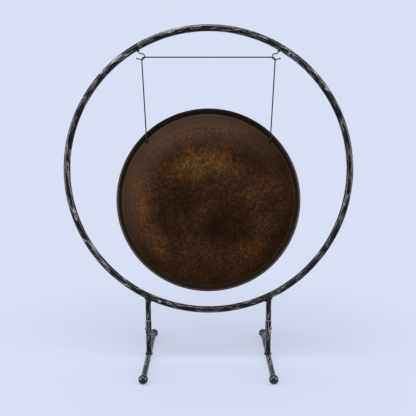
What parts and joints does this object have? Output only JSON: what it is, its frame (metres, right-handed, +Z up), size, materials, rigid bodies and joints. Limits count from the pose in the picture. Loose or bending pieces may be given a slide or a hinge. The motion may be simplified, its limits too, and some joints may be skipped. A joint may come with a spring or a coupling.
{
  "type": "tam tam gong",
  "caption": "Bronze tam tam with a turned-back rim, hung by one looped cord from two wire hooks inside a round black tube stand on ball-ended feet.",
  "frame": {"origin": "on the floor, midway between the four ball feet", "axes": "+Z up, +X across the hoop to the right as the player sees it, -Y towards the player"},
  "size_m": [0.9378, 0.43, 1.0999],
  "materials": {
    "gloss_black_tube": "glossy black lacquer over rippled steel tube",
    "hook_steel": "gloss black wire",
    "screw_steel": "plain steel",
    "bronze": "dark brown patina, hammered and mottled",
    "cord": "twisted synthetic cord, dark grey"
  },
  "bodies": {
    "stand": {"hoop_tube": "gloss_black_tube", "hoop_closing_weld": "gloss_black_tube", "cord_top_span": "cord", "left_hook": "hook_steel", "right_hook": "hook_steel", "left_hook_weld": "gloss_black_tube", "right_hook_weld": "gloss_black_tube", "left_upper_post": "gloss_black_tube", "right_upper_post": "gloss_black_tube", "left_post_weld": "gloss_black_tube", "right_post_weld": "gloss_black_tube", "left_coupling_sleeve": "gloss_black_tube", "right_coupling_sleeve": "gloss_black_tube", "left_sleeve_screw": "screw_steel", "right_sleeve_screw": "screw_steel", "left_lower_post": "gloss_black_tube", "right_lower_post": "gloss_black_tube", "left_foot_weld": "gloss_black_tube", "right_foot_weld": "gloss_black_tube", "left_foot_bar": "gloss_black_tube", "right_foot_bar": "gloss_black_tube", "left_front_ball": "gloss_black_tube", "right_front_ball": "gloss_black_tube", "left_rear_ball": "gloss_black_tube", "right_rear_ball": "gloss_black_tube"},
    "cord_drops": {"left_cord_drop": "cord", "right_cord_drop": "cord"},
    "gong": {"gong_plate": "bronze", "cord_back_run": "cord", "cord_knot": "cord"}
  },
  "joints": [
    {"name": "gong_swing", "type": "hinge", "parent": "stand", "child": "cord_drops", "pos_m": [0, -0.00415, 0.98793], "axis": [1, 0, 0], "range_deg": [-30, 30]},
    {"name": "gong_tilt", "type": "hinge", "parent": "cord_drops", "child": "gong", "pos_m": [0, -0.00415, 0.73893], "axis": [-1, 0, 0], "range_deg": [-4.5, 30]}
  ]
}
